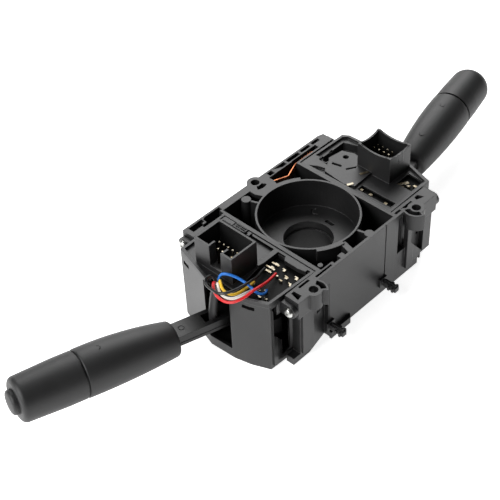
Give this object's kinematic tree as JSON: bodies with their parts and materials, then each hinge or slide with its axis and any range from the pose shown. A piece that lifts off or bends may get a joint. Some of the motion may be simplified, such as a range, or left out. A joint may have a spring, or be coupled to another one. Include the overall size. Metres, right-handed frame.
{
  "type": "combination stalk switch",
  "caption": "Steering column combination switch: moulded housing with a column cup, two switch modules with connectors and two stalk levers, the left one with a push button in its knob.",
  "frame": {"origin": "On the column's axis at the plate that faces the driver.", "axes": "+X to the wiper lever, +Y to the back rail with its single screw boss, +Z along the column away from the driver, to the open side with the connectors."},
  "size_m": [0.4115, 0.1032, 0.0705],
  "materials": {
    "housing_plastic": "moulded",
    "case_plastic": "moulded",
    "lid_plastic": "moulded",
    "grip_plastic": "satin",
    "inner_plastic": "moulded",
    "board_laminate": "coated",
    "plated_steel": "zinc plated",
    "spring_steel": "oiled",
    "contact_brass": "rolled",
    "copper_strip": "rolled",
    "tinned_tabs": "tinned",
    "sleeve_vinyl": "soft",
    "wire_blue": "insulation",
    "wire_yellow": "insulation",
    "wire_white": "insulation",
    "wire_red": "insulation",
    "wire_black": "insulation"
  },
  "bodies": {
    "housing": {"column_housing": "housing_plastic", "ring_circlip": "spring_steel", "earth_strip": "copper_strip", "trim_clips": "lid_plastic", "left_switch_case": "case_plastic", "left_switch_lid": "lid_plastic", "left_contact_board": "board_laminate", "left_connector_pins": "tinned_tabs", "left_solder_tabs": "tinned_tabs", "left_case_screws": "plated_steel", "left_detent_plate": "inner_plastic", "right_switch_case": "case_plastic", "right_switch_lid": "lid_plastic", "right_contact_board": "board_laminate", "right_connector_pins": "tinned_tabs", "right_solder_tabs": "tinned_tabs", "right_case_screws": "plated_steel", "right_detent_plate": "inner_plastic", "wire_blue": "wire_blue", "wire_yellow": "wire_yellow", "wire_white": "wire_white", "wire_red": "wire_red", "wire_black": "wire_black"},
    "cancel_ring": {"cancel_ring": "inner_plastic"},
    "cancel_pawl": {"cancel_pawl": "inner_plastic"},
    "left_yoke": {"left_yoke": "inner_plastic", "left_lever_pin": "spring_steel", "left_contact_wiper": "contact_brass", "left_detent_spring": "spring_steel", "left_return_spring": "spring_steel", "wire_sleeve": "sleeve_vinyl"},
    "left_plunger": {"left_detent_plunger": "plated_steel"},
    "left_lever": {"left_lever_arm": "case_plastic", "left_grip_sleeve": "grip_plastic"},
    "left_knob": {"left_knob": "grip_plastic", "horn_contact": "contact_brass"},
    "horn_button": {"horn_button": "grip_plastic"},
    "right_yoke": {"right_yoke": "inner_plastic", "right_lever_pin": "spring_steel", "right_contact_wiper": "contact_brass", "right_detent_spring": "spring_steel", "right_return_spring": "spring_steel"},
    "right_plunger": {"right_detent_plunger": "plated_steel"},
    "right_lever": {"right_lever_arm": "case_plastic", "right_grip_sleeve": "grip_plastic"},
    "right_knob": {"right_knob": "grip_plastic"}
  },
  "joints": [
    {"name": "cancel_ring_turn", "type": "hinge", "parent": "housing", "child": "cancel_ring", "pos_m": [0, 0, 0.0067], "axis": [0, 0, 1], "continuous": true},
    {"name": "left_turn", "type": "hinge", "parent": "housing", "child": "left_yoke", "pos_m": [-0.052, -0.00394, 0.02213], "axis": [0, 0, 1], "range_deg": [-0.5, 13]},
    {"name": "cancel_pawl_swing", "type": "hinge", "parent": "left_yoke", "child": "cancel_pawl", "pos_m": [-0.04471, -0.00569, 0.01003], "axis": [0, 0, 1], "range_deg": [-5, 5]},
    {"name": "left_detent_travel", "type": "slide", "parent": "left_yoke", "child": "left_plunger", "axis": [0, 0, 1], "range_m": [0, 0.0015], "stiffness_N_per_m": 900, "springref_m": -0.002, "deforming": ["left_detent_spring"]},
    {"name": "left_flash", "type": "hinge", "parent": "left_yoke", "child": "left_lever", "pos_m": [-0.052, -0.00394, 0.02213], "axis": [-0.2334, -0.9724, 0], "range_deg": [0, 8], "stiffness_Nm_per_rad": 3, "springref_deg": -5.73, "deforming": ["left_return_spring"]},
    {"name": "left_knob_turn", "type": "hinge", "parent": "left_lever", "child": "left_knob", "pos_m": [-0.17804, 0.02632, 0.0321], "axis": [-0.9695, 0.2328, 0.0767], "range_deg": [0, 60]},
    {"name": "horn_press", "type": "slide", "parent": "left_knob", "child": "horn_button", "axis": [0.9695, -0.2328, -0.0767], "range_m": [0, 0.0025], "stiffness_N_per_m": 1200, "springref_m": -0.001},
    {"name": "right_wipe", "type": "hinge", "parent": "housing", "child": "right_yoke", "pos_m": [0.052, -0.00394, 0.02213], "axis": [0, 0, 1], "range_deg": [-10, 6]},
    {"name": "right_detent_travel", "type": "slide", "parent": "right_yoke", "child": "right_plunger", "axis": [0, 0, 1], "range_m": [0, 0.0015], "stiffness_N_per_m": 900, "springref_m": -0.002, "deforming": ["right_detent_spring"]},
    {"name": "right_wash", "type": "hinge", "parent": "right_yoke", "child": "right_lever", "pos_m": [0.052, -0.00394, 0.02213], "axis": [-0.1771, 0.9842, 0], "range_deg": [0, 8], "stiffness_Nm_per_rad": 3, "springref_deg": -5.73, "deforming": ["right_return_spring"]},
    {"name": "right_knob_turn", "type": "hinge", "parent": "right_lever", "child": "right_knob", "pos_m": [0.17966, 0.01903, 0.03075], "axis": [0.982, 0.1767, 0.0663], "range_deg": [0, 40]}
  ]
}
